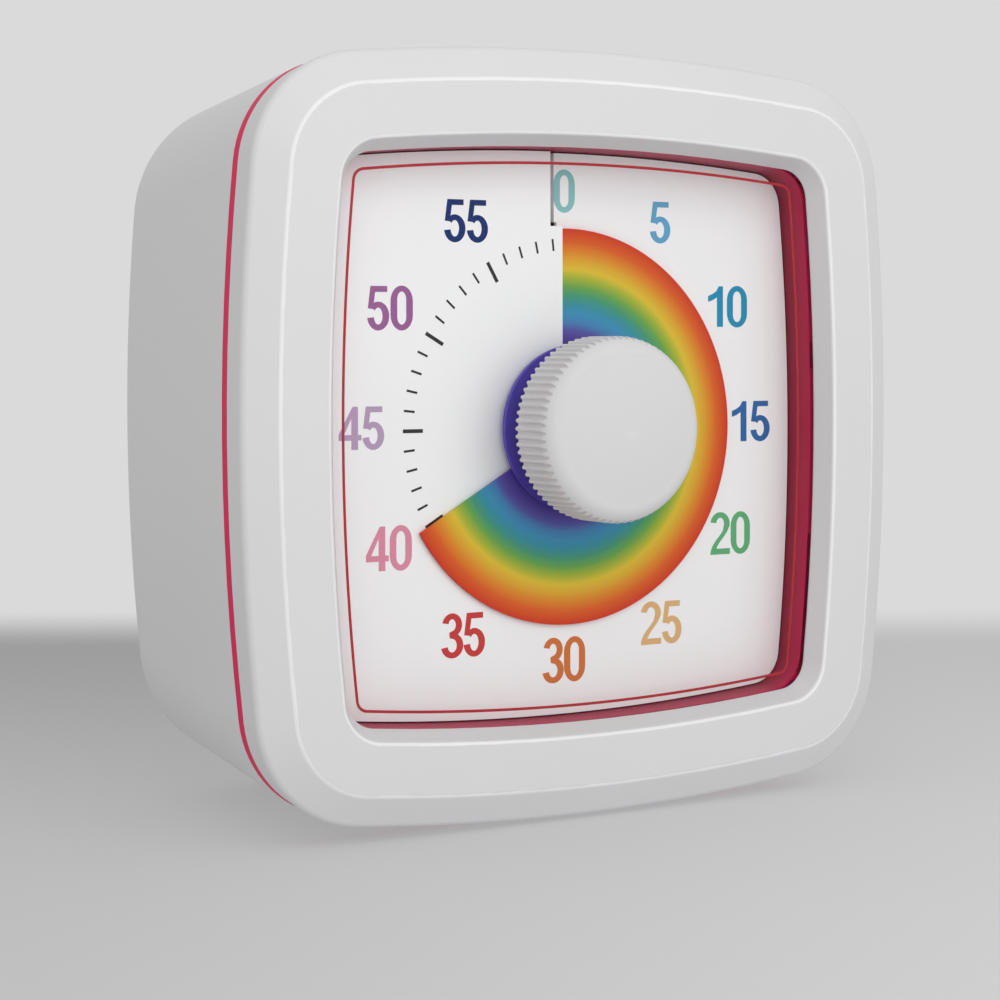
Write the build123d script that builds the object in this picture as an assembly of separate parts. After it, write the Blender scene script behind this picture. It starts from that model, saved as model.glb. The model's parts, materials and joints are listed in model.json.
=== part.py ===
from build123d import *
import math
import os

# A sixty-minute visual countdown timer: a square case with bowed sides, a coloured disc that
# winds out through a slit in a helical dial, and a knob that sets it.
#
# Everything is drawn in the dial's own frame: the dial axis is Z and points at the viewer,
# Y is up and X is to the right, all in millimetres. Z = 0 is the mean height of the dial's
# sheet. place() then stands the finished pieces up: +Z up, front towards -Y, the origin on
# the ground under the middle of the timer.

# ---- driving dimensions -------------------------------------------------------------------

# case outline, seen from the front
rim_half = 43.0  # case centre to the middle of a side, at the bezel's rim
rim_corner = 13.2  # corner radius at the rim
bow_offset = 236.0  # case centre back to the centre of the arc that a side follows
dial_rise = 0.9  # dial axis above the case centre

# bezel: heights along the dial axis, and widths from the rim inwards
front_z = 7.1  # flat front of the bezel
rim_z = 5.0  # widest line of the bezel
brow_width = 3.8  # slope between rim and flat front
front_width = 5.7  # flat front
mouth_width = 1.25  # slope between flat front and lip
lip_corner = 3.6
lip_rise = 0.2  # thickness of the lip over the lens
ridge_round = 0.6
rim_round = 0.9
bezel_wall = 1.8
bezel_post = 1.2  # wall that stands round the lens and trim

# seam between bezel and housing, filled by the coloured trim
seam_inset = 0.5  # seam inside the rim
seam_width = 1.3

# rear housing
case_back_z = -36.9
back_inset = 3.0  # back inside the rim, before the rounding
back_corner = 14.8  # corner radius there: the shell is rounder behind than at the seam
back_round = 6.0
case_wall = 2.2

# trim frame
trim_inset = 0.2  # wall round the dial inside the lip, at its ledge
trim_flare = 0.3  # how much wider that wall is at the lens
trim_corner = 4.0
ledge_width = 1.75
ledge_depth = 1.0

# lens
lens_front = 4.7
lens_thickness = 0.8
lens_margin = 1.1  # how far the lens reaches under the lip
lens_hole = 6.5

# dial sheet and disc: both are right helicoids with one pitch
sheet_thickness = 0.5
disc_thickness = 0.4
disc_gap = 0.2  # free gap between sheet and disc
disc_radius = 22.6
disc_pocket_gap = 0.8
disc_notch_deg = 4.0  # missing wedge between the disc's two radial edges
dial_base_z = -2.6  # flat underside of the dial
slit_x = -0.9  # flap edge inside the disc radius
slit_outer_x = -2.5  # flap edge outside the disc radius
slit_width = 1.25  # open slot beyond the flap, outside the disc radius
slit_end_width = 0.5  # the same slot along the step
slit_jog = 0.2  # the edge steps across this far outside the disc
tongue_reach = 2.0  # how far the low side runs on beneath the flap
set_minutes = 40.0

# knob and collar
knob_radius = 10.35
knob_back_z = 6.05
knob_front_z = 13.6
knob_round = 2.2
knob_dome = 0.8  # how far the front bulges
knob_ribs = 72
rib_depth = 0.35
knob_wall = 1.9
stem_radius = 5.5
collar_radius = 9.4
collar_thickness = 0.6
collar_z = 1.7  # underside of the collar

# disc hub and shaft
hub_radius = 6.0
hub_back = 1.8  # hub length behind and in front of the disc's mid height
hub_front = 0.9
shaft_radius = 2.5
shaft_flat = 2.0  # shaft axis to its flat
shaft_front_z = 9.8
flange_radius = 3.6  # thrust flange of the shaft, behind the plate
flange_thickness = 0.7
flange_gap = 0.1
journal_radius = 2.0
journal_gap = 0.2  # journal's end to the back of the cover
clutch_radius = 5.0
clutch_height = 0.7
clutch_sheet = 0.3
ring_width = 1.2
ring_thickness = 0.7

# fits
running = 0.05  # radial clearance of a running fit
clearance = 0.15  # all-round clearance of a piece that drops into a seat
thread_gap = 0.02  # radial clearance where a screw's thread bites

# back plate
plate_flange = 1.2  # part of the plate that lies behind the ledge
plate_lap = 1.2  # how far that part reaches over the ledge
plate_screw_inset = 5.2  # its screws, inside the ledge

# wheels
gear_module = 0.4
centre_teeth = 60
pinion_teeth = 10
middle_teeth = 50
wheel_thickness = 1.2
tooth_share = 0.36  # tooth width over tooth pitch
tooth_angle = 20.0  # lean of a tooth's flanks
middle_angle = 125.0  # direction from the shaft to the middle arbor
rotor_angle = 20.0  # direction from the middle arbor to the rotor
wheel_front_z = -7.0
middle_front_z = -10.6
pinion_lap = 0.6  # how far a pinion reaches past the wheel that it meets
arbor_radius = 0.8
arbor_gap = 0.4  # arbor's end to the back of the cover
arbor_seat = 1.0  # how far an arbor stands in the plate
spoke_hole_place = 8.0
spoke_hole_radius = 2.4

# motor
magnet_radius = 2.8
magnet_front_z = -12.2
magnet_length = 2.3
magnet_gap = 0.5
stator_z = -13.2
stator_thickness = 1.2
stator_width = 2.4
stator_offset = 0.4  # stator arm beside the rotor's axis
coil_x = 17.0
coil_low = -1.0
coil_high = 11.0
coil_radius = 2.5
coil_build = 0.9  # depth of the winding
bobbin_flange = 0.8
bobbin_lip = 0.3  # flange beyond the winding

# movement cover
cover_depth = 12.8
cover_wall = 1.4
cover_gap = 0.7  # wheels and coil to the cover's walls
cover_corner = 2.0
cover_screw_inset = 2.6
cover_post_wall = 1.0
peg_radius = 0.8  # pegs that hold the circuit board

# small screws
screw_small_radius = 0.9
screw_small_head = 1.7
screw_small_height = 1.0
screw_small_bite = 1.3  # depth of their holes in the dial, and in the plate
screw_end_gap = 0.2

# circuit board
board_thickness = 1.2
board_left = -14.0
board_right = 16.0
board_low = -10.0
board_high = 12.0
peg_inset = 2.0  # pegs inside the board's corners
crystal_radius = 1.0
crystal_length = 6.0
crystal_x = 11.0
crystal_y = 4.0
chip_x = -4.0
chip_y = 2.0
chip_sphere = 6.0  # radius of the sphere that the resin drop is cut from
chip_height = 1.4

# battery, an AA cell lying across the case
cell_radius = 7.25
cell_length = 50.5
cell_edge = 0.4
cell_nub_radius = 2.6
cell_nub_length = 1.0
cell_drop = 1.15  # battery bay below the movement cover
cell_room = 0.8  # between cell and bay, above and below
bay_end_room = 2.35  # bay beyond the middle of the cell's length, less half the cell
bay_wall = 1.2
contact_thickness = 0.4
contact_half = 4.0
spring_radius = 3.2
spring_wire = 0.35
spring_turns = 3.0

# battery door
door_margin = 0.6  # door shorter than the bay at each end
door_thickness = 1.6
door_gap = 0.25
door_relief = 0.6  # bevel that lets the door swing right down
door_pin_radius = 0.5
door_pin_length = 1.0
door_rib_x = 15.0
door_rib_half = 1.0
door_rib_reach = 4.0
scoop_radius = 7.0  # thumb scoop above the door
scoop_depth = 1.2
grip_count = 4
grip_pitch = 1.3
grip_half = 6.0
grip_width = 0.6
grip_depth = 0.35

# buzzer
buzzer_y = 18.5
buzzer_radius = 13.5
buzzer_thickness = 0.5
ceramic_margin = 3.5
ceramic_thickness = 0.2
buzzer_wall = 1.2
buzzer_wall_height = 2.2
sound_hole_radius = 0.8
sound_hole_pitch = 3.2

# switch
switch_inset = 13.0  # inside the back's side
switch_y = 3.0
switch_travel = 2.4
switch_stem = 2.0
switch_pad_margin = 0.7
switch_pad_depth = 1.1
switch_recess_margin = 1.2
switch_wall = 1.5
switch_height = 3.4
switch_trough = 2.0
switch_groove_pitch = 1.0
switch_groove_width = 0.5
switch_groove_depth = 0.5

# case screws
screw_inset = 10.1  # inside the seam, in X and in Y
screw_radius = 1.3
screw_head_radius = 1.9
screw_head_height = 1.6
screw_seat_depth = 12.45  # behind the seam
screw_tip_gap = 0.5
boss_wall = 1.0
boss_roof = 0.4  # between the screw's hole and the hollow's top

# feet
foot_place_x = 19.0
foot_radius = 2.8
foot_front_z = -6.0
foot_rear_inset = 6.0  # rear feet in front of the back
foot_drop = 0.4  # feet stand out below the rim
foot_sink = 0.9  # their seats, measured up from the housing's underside

# reach of cutting and trimming bodies, beyond every piece
over = 1.0
far = 60.0

os.makedirs("parts", exist_ok=True)

# ---- sizes that follow ---------------------------------------------------------------------

case_y = -dial_rise
ridge_half = rim_half - brow_width
mouth_half = ridge_half - front_width
lip_half = mouth_half - mouth_width
seam_half = rim_half - seam_inset
back_half = rim_half - back_inset
trim_half = lip_half - trim_inset
rim_core = rim_half - rim_corner
back_core = back_half - back_corner
lip_core = lip_half - lip_corner
trim_core = trim_half - trim_corner
seam_front = seam_width / 2
seam_back = -seam_width / 2
lens_back = lens_front - lens_thickness
lip_z = lens_front + lip_rise
lens_half = lip_half + lens_margin
post_half = lens_half + clearance
trim_slope = trim_flare / (lens_back - dial_base_z)
hollow_half = seam_half - bezel_wall
hollow_top = rim_z - bezel_wall / 2

sheet_spacing = (sheet_thickness + disc_thickness) / 2 + disc_gap
pitch = 2 * sheet_spacing
set_angle = 360 * set_minutes / 60
disc_rise = sheet_spacing * (2 * set_angle / 360 - 1)
flat_end_z = -sheet_spacing - hub_back - clearance

ledge_back = dial_base_z - ledge_depth
ledge_half = trim_half - ledge_width
plate_reach = ledge_half + plate_lap
plate_back = ledge_back - plate_flange
plate_screw_place = ledge_half - plate_screw_inset

middle_distance = gear_module * (centre_teeth + pinion_teeth) / 2
rotor_distance = gear_module * (middle_teeth + pinion_teeth) / 2
middle_x = middle_distance * math.cos(math.radians(middle_angle))
middle_y = middle_distance * math.sin(math.radians(middle_angle))
rotor_x = middle_x + rotor_distance * math.cos(math.radians(rotor_angle))
rotor_y = middle_y + rotor_distance * math.sin(math.radians(rotor_angle))
centre_tip = gear_module * (centre_teeth / 2 + 1)
middle_tip = gear_module * (middle_teeth / 2 + 1)
pinion_mesh_angle = 180 + 180 / pinion_teeth
wheel_back_z = wheel_front_z - wheel_thickness
clutch_back_z = wheel_back_z - clutch_height

cover_back = plate_back - cover_depth
cover_inside = cover_back + cover_wall
cover_left = middle_x - middle_tip - cover_gap - cover_wall
cover_right = coil_x + coil_radius + bobbin_lip + cover_gap + cover_wall
cover_low = -centre_tip - cover_gap - cover_wall
cover_high = middle_y + middle_tip + cover_gap + cover_wall
arbor_back = cover_back + arbor_gap
arbor_front = plate_back + arbor_seat
stator_back = stator_z - stator_thickness / 2
stator_front = stator_z + stator_thickness / 2
stator_top = coil_high + stator_width
stator_bottom = coil_low - stator_width
board_back = cover_back - board_thickness

inner_back = case_back_z + case_wall
door_axis_in = door_thickness / 2
door_axis_z = case_back_z + door_axis_in
cell_y = cover_low - cell_drop - bay_wall - cell_room - cell_radius
cell_z = inner_back + clearance + cell_radius
bay_half = cell_length / 2 + bay_end_room
bay_front = cell_z + cell_radius + clearance
bay_high = cell_y + cell_radius + cell_room
bay_low = cell_y - cell_radius - cell_room
cell_right = bay_half - contact_thickness
cell_left = cell_right - cell_length
door_half = bay_half - door_margin
door_high = bay_high - 2 * door_gap
door_axis_y = bay_low + door_axis_in
door_pin_end = door_half + door_pin_length

switch_x = back_half - switch_inset
switch_rest_x = switch_x + switch_travel / 2
switch_reach = (switch_travel + switch_stem) / 2 + 2 * clearance
switch_side = switch_stem / 2 + clearance

screw_place = seam_half - screw_inset
screw_seat_z = seam_back - screw_seat_depth
screw_hole_top = hollow_top - boss_roof
screw_tip_z = screw_hole_top - screw_tip_gap
boss_step_z = screw_seat_z + boss_wall
well_radius = screw_head_radius + 2 * clearance
foot_rear_z = case_back_z + foot_rear_inset
foot_bottom_y = case_y - rim_half - foot_drop


# ---- shapes used by several pieces ---------------------------------------------------------


def corner_reach(half):
    """Where the arcs of two neighbouring sides cross: the same X and Y on each."""
    return (math.sqrt(2 * (bow_offset + half) ** 2 - bow_offset**2) - bow_offset) / 2


def outline(half, core, z=0.0):
    """A square with bowed sides and round corners; one core gives a family of offsets."""
    reach = corner_reach(half)
    corners = [(reach, -reach), (reach, reach), (-reach, reach), (-reach, -reach)]
    middles = [(half, 0), (0, half), (-half, 0), (0, -half)]
    sides = []
    for number, middle in enumerate(middles):
        sides.append(Edge.make_three_point_arc(corners[number], middle, corners[(number + 1) % 4]))
    face = Face(Wire(sides))
    face = face.fillet_2d(half - core, face.vertices())
    return face.moved(Location((0, case_y, z)))


def block(core_a, half_a, z_a, half_b, z_b, core_b=None):
    """A solid between two outlines at two heights; one core gives outlines of one family."""
    end = outline(half_b, core_b or core_a, z_b)
    wires = [outline(half_a, core_a, z_a).outer_wire(), end.outer_wire()]
    return Part(Solid.make_loft(wires, ruled=True).wrapped)


def edges_at(shape, z, half, core):
    """The loop of edges that follows one outline."""
    near = 0.02
    centre = corner_reach(core)
    found = []
    for edge in shape.edges():
        middle = edge @ 0.5
        if abs(middle.Z - z) > near or abs((edge @ 0).Z - z) > near:
            continue
        across = max(abs(middle.X), abs(middle.Y - case_y))
        along = min(abs(middle.X), abs(middle.Y - case_y))
        off_side = abs(math.hypot(across + bow_offset, along) - bow_offset - half)
        off_corner = abs(math.hypot(across - centre, along - centre) - half + core)
        if min(off_side, off_corner) < near:
            found.append(edge)
    return ShapeList(found)


def rod(radius, z_a, z_b, x=0.0, y=0.0):
    """A cylinder along the dial axis between two heights."""
    cylinder = Cylinder(radius, abs(z_b - z_a), align=(Align.CENTER, Align.CENTER, Align.MIN))
    return cylinder.moved(Location((x, y, min(z_a, z_b))))


def bar_along_x(radius, half_length, y, z):
    """A cylinder across the case, its middle at X = 0."""
    return Cylinder(radius, 2 * half_length).rotate(Axis.Y, 90).moved(Location((0, y, z)))


def box(x_a, x_b, y_a, y_b, z_a, z_b):
    """A box between two corners."""
    solid = Box(abs(x_b - x_a), abs(y_b - y_a), abs(z_b - z_a), align=(Align.MIN,) * 3)
    return solid.moved(Location((min(x_a, x_b), min(y_a, y_b), min(z_a, z_b))))


def slab(x, y, half_x, half_y, z_a, z_b):
    """A box around one upright line of the dial frame."""
    return box(x - half_x, x + half_x, y - half_y, y + half_y, z_a, z_b)


def helicoid(inner, outer, start, sweep, low, high):
    """A sheet that climbs clockwise by one pitch per turn; low and high are offsets along Z."""
    rise = pitch * sweep / 360
    inner_edge = Edge.make_helix(pitch, rise, inner, lefthand=True)
    outer_edge = Edge.make_helix(pitch, rise, outer, lefthand=True)
    face = Face.make_surface_from_curves(inner_edge, outer_edge)
    sheet = extrude(face.moved(Location((0, 0, low))), amount=high - low, dir=(0, 0, 1))
    height = pitch * (start / 360 - 0.5)
    return sheet.rotate(Axis.Z, 90 - start).moved(Location((0, 0, height)))


def screws(points, seat_z, tip_z, radius, head_radius, head_height):
    """Screws driven from behind, the undersides of their heads on seat_z."""
    pieces = []
    for x, y in points:
        shank = rod(radius, seat_z, tip_z, x, y)
        pieces.append(shank + rod(head_radius, seat_z - head_height, seat_z, x, y))
    return Part() + pieces


def square_of_points(place):
    """Four points round the case centre, one in each quarter."""
    return [(i * place, case_y + j * place) for i in (-1, 1) for j in (-1, 1)]


# ---- case ----------------------------------------------------------------------------------


def front_bezel():
    """Square ring: side band, sloping brow, flat front and an inner slope down to a thin lip."""
    slope = mouth_width / (front_z - lip_z)
    post_outside = post_half + bezel_post
    ring = block(rim_core, seam_half, seam_front, rim_half, rim_z)
    ring += block(rim_core, rim_half, rim_z, ridge_half, front_z)
    ring -= block(lip_core, lip_half, lip_z, mouth_half + slope * over, front_z + over)
    ring -= block(lip_core, lip_half, seam_front - over, lip_half, lip_z)
    ring -= block(lip_core, post_half, seam_front - over, post_half, lens_front)
    hollow = block(rim_core, hollow_half, seam_front - over, hollow_half, hollow_top)
    hollow -= block(lip_core, post_outside, seam_front - 2 * over, post_outside, front_z)
    ring -= hollow
    ring = fillet(edges_at(ring, front_z, ridge_half, rim_core), ridge_round)
    ring = fillet(edges_at(ring, front_z, mouth_half, lip_core), ridge_round)
    ring = fillet(edges_at(ring, rim_z, rim_half, rim_core), rim_round)
    for x, y in square_of_points(screw_place):
        ring += rod(screw_radius + boss_wall, seam_front, hollow_top + boss_roof, x, y)
        ring -= rod(screw_radius + thread_gap, seam_front - over, screw_hole_top, x, y)
    return ring


def trim_frame():
    """Coloured frame: a flange that shows as a line in the seam and the wall round the dial."""
    wall = block(lip_core, lens_half, ledge_back, lens_half, lens_back)
    flange = block(rim_core, seam_half, seam_back, seam_half, seam_front)
    frame = wall + flange
    top_half = trim_half + trim_flare + trim_slope * over
    frame -= block(trim_core, trim_half, dial_base_z, top_half, lens_back + over)
    frame -= block(trim_core, ledge_half, ledge_back - over, ledge_half, dial_base_z + over)
    for x, y in square_of_points(screw_place):
        frame -= rod(screw_radius + clearance, seam_back - over, seam_front + over, x, y)
    return frame


def lens():
    """Clear cover with a hole for the knob's stem."""
    plate = block(lip_core, lens_half, lens_back, lens_half, lens_front)
    return plate - rod(lens_hole, lens_back - over, lens_front + over)


def rear_housing():
    """Deep rear shell with the battery bay, screw wells, sound holes and switch slot."""
    mouth_half_width = seam_half - case_wall
    inner_half = back_half - case_wall
    shell = block(rim_core, seam_half, seam_back, back_half, case_back_z, back_core)
    shell = fillet(edges_at(shell, case_back_z, back_half, back_core), back_round)
    inside = block(rim_core, mouth_half_width, seam_back, inner_half, inner_back, back_core)
    inside = fillet(edges_at(inside, inner_back, inner_half, back_core), back_round - case_wall)
    mouth = block(rim_core, mouth_half_width, seam_back, mouth_half_width, seam_back + over)
    envelope = shell
    shell = shell - inside - mouth
    bay_y = (bay_high + bay_low) / 2
    bay_reach = (bay_high - bay_low) / 2
    bay_outside = bay_half + bay_wall
    shell += slab(0, bay_y, bay_outside, bay_reach + bay_wall, inner_back, bay_front + bay_wall)
    shell -= slab(0, bay_y, bay_half, bay_reach, inner_back - thread_gap, bay_front)
    for x, y in square_of_points(screw_place):
        shell += rod(screw_radius + clearance + boss_wall, seam_back, screw_seat_z, x, y)
        shell += rod(well_radius + boss_wall, boss_step_z, inner_back, x, y) & envelope
        shell -= rod(well_radius, screw_seat_z, case_back_z - over, x, y)
        shell -= rod(screw_radius + clearance, screw_seat_z - over, seam_back + over, x, y)
    shell -= door_opening()
    shell += buzzer_ring()
    shell -= sound_holes()
    shell -= switch_recess()
    for x, z in foot_points():
        shell -= foot(x, z, foot_radius + running)
    return shell


def door_opening():
    """The hole in the back wall, its bevel and thumb scoop, and the sockets of the hinge pins."""
    high = door_high + door_gap
    low = bay_low - door_gap
    side = door_half + door_gap
    hole = box(-side, side, low, high, case_back_z - over, inner_back + thread_gap)
    diamond = Box(2 * side, door_relief * math.sqrt(2), door_relief * math.sqrt(2))
    bevel = diamond.rotate(Axis.X, 45).moved(Location((0, low, case_back_z)))
    scoop = rod(scoop_radius, case_back_z - over, case_back_z + scoop_depth, 0, high)
    scoop &= box(-far, far, high - over, far, -far, far)
    pins = bar_along_x(
        door_pin_radius + running, door_pin_end + clearance, door_axis_y, door_axis_z
    )
    return hole + bevel + scoop + pins


def battery_door():
    """Plate with a round lower edge that turns on two moulded pins."""
    door = box(-door_half, door_half, door_axis_y, door_high, case_back_z, case_back_z + door_thickness)
    door += bar_along_x(door_axis_in, door_half, door_axis_y, door_axis_z)
    door += bar_along_x(door_pin_radius, door_pin_end, door_axis_y, door_axis_z)
    rib_front = cell_z - cell_radius - 2 * clearance
    for x in (-door_rib_x, door_rib_x):
        door += slab(x, cell_y, door_rib_half, door_rib_reach, door_axis_z, rib_front)
    for number in range(grip_count):
        y = door_high - door_thickness - grip_pitch * number
        door -= slab(0, y, grip_half, grip_width / 2, case_back_z - over, case_back_z + grip_depth)
    return door


def buzzer_ring():
    """Low wall on the inside of the back that locates the buzzer."""
    seat = buzzer_radius + clearance
    top = inner_back + buzzer_wall_height
    ring = rod(seat + buzzer_wall, inner_back - thread_gap, top, 0, buzzer_y)
    return ring - rod(seat, inner_back - over, top + over, 0, buzzer_y)


def sound_holes():
    """A middle hole and two rings of holes over the buzzer."""
    points = [(0.0, 0.0)]
    for ring in (1, 2):
        for number in range(6 * ring):
            angle = math.radians(60 * number / ring)
            radius = ring * sound_hole_pitch
            points.append((radius * math.cos(angle), radius * math.sin(angle)))
    holes = []
    for x, y in points:
        holes.append(
            rod(sound_hole_radius, case_back_z - over, inner_back + thread_gap, x, buzzer_y + y)
        )
    return Part() + holes


def switch_recess():
    """Shallow recess in the back for the switch's pad, with a slot for its stem."""
    half_x = switch_reach + switch_recess_margin
    half_y = switch_side + switch_recess_margin
    deep = case_back_z + switch_pad_depth + clearance
    slot = slab(switch_x, switch_y, switch_reach, switch_side, case_back_z, inner_back + over)
    return slot + slab(switch_x, switch_y, half_x, half_y, case_back_z - over, deep)


def switch_body():
    """Slide switch fixed inside the back wall, with a trough for the slider's foot."""
    half_x = switch_reach + switch_wall
    half_y = switch_side + switch_wall
    trough_top = inner_back + switch_trough
    body = slab(switch_x, switch_y, half_x, half_y, inner_back, inner_back + switch_height)
    return body - slab(
        switch_x, switch_y, switch_reach, switch_side, inner_back - over, trough_top
    )


def switch_slider():
    """Ridged pad on a stem, at its right-hand stop."""
    half = switch_stem / 2
    pad_half = half + switch_pad_margin
    back = case_back_z + clearance
    front = inner_back + switch_trough - clearance
    groove_end = case_back_z + switch_groove_depth
    slider = slab(switch_rest_x, switch_y, half, half, back, front)
    slider += slab(
        switch_rest_x, switch_y, pad_half, pad_half, back, case_back_z + switch_pad_depth
    )
    for step in (-1, 0, 1):
        x = switch_rest_x + step * switch_groove_pitch
        slider -= slab(
            x, switch_y, switch_groove_width / 2, switch_stem, case_back_z - over, groove_end
        )
    return slider


def foot_points():
    """Where the four feet stand, as x and z."""
    return [(x, z) for x in (-foot_place_x, foot_place_x) for z in (foot_front_z, foot_rear_z)]


def foot(x, z, radius):
    """A round upright pad whose top is sunk into the underside, which leans in towards the back."""
    share = (seam_back - z) / (seam_back - case_back_z)
    underside = case_y - seam_half + (seam_half - back_half) * share
    height = underside + foot_sink - foot_bottom_y
    pad = Cylinder(radius, height, align=(Align.CENTER, Align.CENTER, Align.MIN))
    return pad.rotate(Axis.X, -90).moved(Location((x, foot_bottom_y, z)))


def rubber_feet():
    """Four pads in shallow seats under the housing."""
    return Part() + [foot(x, z, foot_radius) for x, z in foot_points()]


def housing_screws():
    """Four screws through the housing's wells into the bezel."""
    points = square_of_points(screw_place)
    return screws(
        points, screw_seat_z, screw_tip_z, screw_radius, screw_head_radius, screw_head_height
    )


# ---- dial ----------------------------------------------------------------------------------


def side_of_slit(left, inner_x, outer_x):
    """Everything left or right of the dial's upright line, which is the slit above the axis."""
    step_y = disc_radius + slit_jog
    edge = -far if left else far
    lower = box(edge, 0, -far, 0, -far, far)
    inner = box(edge, inner_x, 0, step_y, -far, far)
    outer = box(edge, outer_x, step_y, far, -far, far)
    return lower + inner + outer


def slot_beside_flap():
    """Narrow slot between the low side and the flap, round the step outside the disc."""
    step_y = disc_radius + slit_jog
    along = box(slit_outer_x, slit_outer_x + slit_width, step_y, far, -far, far)
    end = box(slit_outer_x, slit_x, step_y, step_y + slit_end_width, -far, far)
    return along + end


def dial_face():
    """Dial moulded as one helical sheet: low right of the slit, a raised flap left of it."""
    lap = 20.0  # degrees that each cutting helicoid runs on past the slit
    deep = 10.0
    top = sheet_thickness / 2
    pocket = disc_radius + disc_pocket_gap
    hole = hub_radius + 2 * disc_gap
    core = hole / 2
    half = trim_half - clearance
    dial = block(trim_core, half, dial_base_z, half + trim_slope * (pitch - dial_base_z), pitch)
    right = side_of_slit(False, slit_x, slit_outer_x)
    left = side_of_slit(True, slit_x, slit_outer_x)
    under = side_of_slit(False, slit_x - tongue_reach, 0)
    dial -= rod(hole, dial_base_z - over, pitch + over)
    dial -= helicoid(core, far, -lap, 180 + lap, top, deep) & right
    dial -= helicoid(core, far, 180, 180 + lap, top, deep) & left
    tongue = helicoid(core, far, -lap, lap, -top, top) & under
    dial -= helicoid(core, pocket, -lap, 180 + lap, -deep, -top) & right
    dial -= (helicoid(core, pocket, 180, 180 + lap, -deep, -top) & left) - tongue
    dial -= slot_beside_flap()
    for x, y in square_of_points(plate_screw_place):
        hole_end = dial_base_z + screw_small_bite
        dial -= rod(screw_small_radius + thread_gap, dial_base_z - over, hole_end, x, y)
    return dial


def colour_disc():
    """One-turn helical disc; its leading edge stands at the set time."""
    sweep = 360 - disc_notch_deg
    start = set_angle - sweep
    low = sheet_spacing - disc_thickness / 2
    return helicoid(hub_radius + thread_gap / 2, disc_radius, start, sweep, low, low + disc_thickness)


def shaft_section(gap, z_a, z_b):
    """Round shaft with one flat, on the side away from the disc's leading edge."""
    bar = rod(shaft_radius + gap, z_a, z_b)
    bar -= box(-far, far, -far, -shaft_flat - gap, -far, far)
    return bar.rotate(Axis.Z, -set_angle)


def disc_hub():
    """Sleeve that carries the disc and slides along the flatted shaft."""
    back = disc_rise - hub_back
    front = disc_rise + hub_front
    return rod(hub_radius, back, front) - shaft_section(running, back - over, front + over)


def hub_collar():
    """Thin coloured collar in front of the disc's middle."""
    front = collar_z + collar_thickness
    return rod(collar_radius, collar_z, front) - shaft_section(running, collar_z - over, front + over)


# ---- knob and shaft ------------------------------------------------------------------------


def ribbed_outline():
    """Scalloped circle: alternate round ribs and round grooves."""
    step = 2 * math.pi / knob_ribs
    middle = knob_radius - rib_depth / 2
    edges = []
    for number in range(2 * knob_ribs):
        start = number * step / 2
        bulge = knob_radius if number % 2 else knob_radius - rib_depth
        points = []
        for radius, angle in ((middle, start), (bulge, start + step / 4), (middle, start + step / 2)):
            points.append((radius * math.cos(angle), radius * math.sin(angle)))
        edges.append(Edge.make_three_point_arc(*points))
    return Face(Wire(edges))


def knob():
    """Cup-shaped knob with a ribbed side, a round front edge and a stem that meets the collar."""
    side = knob_radius + rib_depth / 10  # just clear of the ribs, so that it trims only their ends
    crown_radius = side - knob_round
    crown_z = knob_front_z - knob_dome
    edge_z = crown_z - knob_round
    bend = knob_round * math.sqrt(0.5)
    dome_radius = (crown_radius**2 + knob_dome**2) / (2 * knob_dome)
    dome_z = knob_front_z - dome_radius + math.sqrt(dome_radius**2 - crown_radius**2 / 4)
    cup_z = knob_front_z - knob_wall
    with BuildPart() as envelope:
        with BuildSketch(Plane.XZ):
            with BuildLine():
                Polyline((0, knob_back_z), (side, knob_back_z), (side, edge_z))
                ThreePointArc((side, edge_z), (crown_radius + bend, edge_z + bend), (crown_radius, crown_z))
                ThreePointArc((crown_radius, crown_z), (crown_radius / 2, dome_z), (0, knob_front_z))
                Line((0, knob_front_z), (0, knob_back_z))
            make_face()
        revolve(axis=Axis.Z)
    ribbed = extrude(ribbed_outline(), amount=knob_front_z + over, dir=(0, 0, 1))
    cap = ribbed & envelope.part
    cap -= rod(knob_radius - knob_wall, knob_back_z - over, cup_z)
    cap += rod(stem_radius, collar_z + collar_thickness, cup_z + clearance)
    return cap - shaft_section(running / 2, collar_z, shaft_front_z + clearance)


def drive_shaft():
    """Steel shaft: flatted in front, a thrust flange behind the plate, a thin journal behind."""
    flange_front = plate_back - flange_gap
    shaft = shaft_section(0, flat_end_z, shaft_front_z)
    shaft += rod(shaft_radius, wheel_front_z, flat_end_z)
    shaft += rod(flange_radius, flange_front - flange_thickness, flange_front)
    return shaft + rod(journal_radius, cover_back + journal_gap, wheel_front_z)


# ---- movement ------------------------------------------------------------------------------


def cover_screw_points():
    """The four corners of the movement cover that are screwed down."""
    xs = (cover_left + cover_screw_inset, cover_right - cover_screw_inset)
    ys = (cover_low + cover_screw_inset, cover_high - cover_screw_inset)
    return [(x, y) for x in xs for y in ys]


def peg_points():
    """The two pegs that hold the circuit board, in opposite corners of it."""
    return [
        (board_left + peg_inset, board_high - peg_inset),
        (board_right - peg_inset, board_low + peg_inset),
    ]


def back_plate():
    """Stepped plate that closes the disc's pocket and carries the movement."""
    inside = ledge_half - clearance
    behind = plate_back - over
    thread = screw_small_radius + thread_gap
    plate = block(trim_core, inside, ledge_back, inside, dial_base_z)
    plate += block(trim_core, plate_reach, plate_back, plate_reach, ledge_back)
    plate -= rod(shaft_radius + running, behind, dial_base_z + over)
    for x, y in ((middle_x, middle_y), (rotor_x, rotor_y)):
        plate -= rod(arbor_radius + running, behind, arbor_front + clearance, x, y)
    for x, y in square_of_points(plate_screw_place):
        plate -= rod(screw_small_radius + clearance, behind, dial_base_z + over, x, y)
    for x, y in cover_screw_points():
        plate -= rod(thread, behind, plate_back + screw_small_bite + screw_end_gap, x, y)
    return plate


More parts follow.
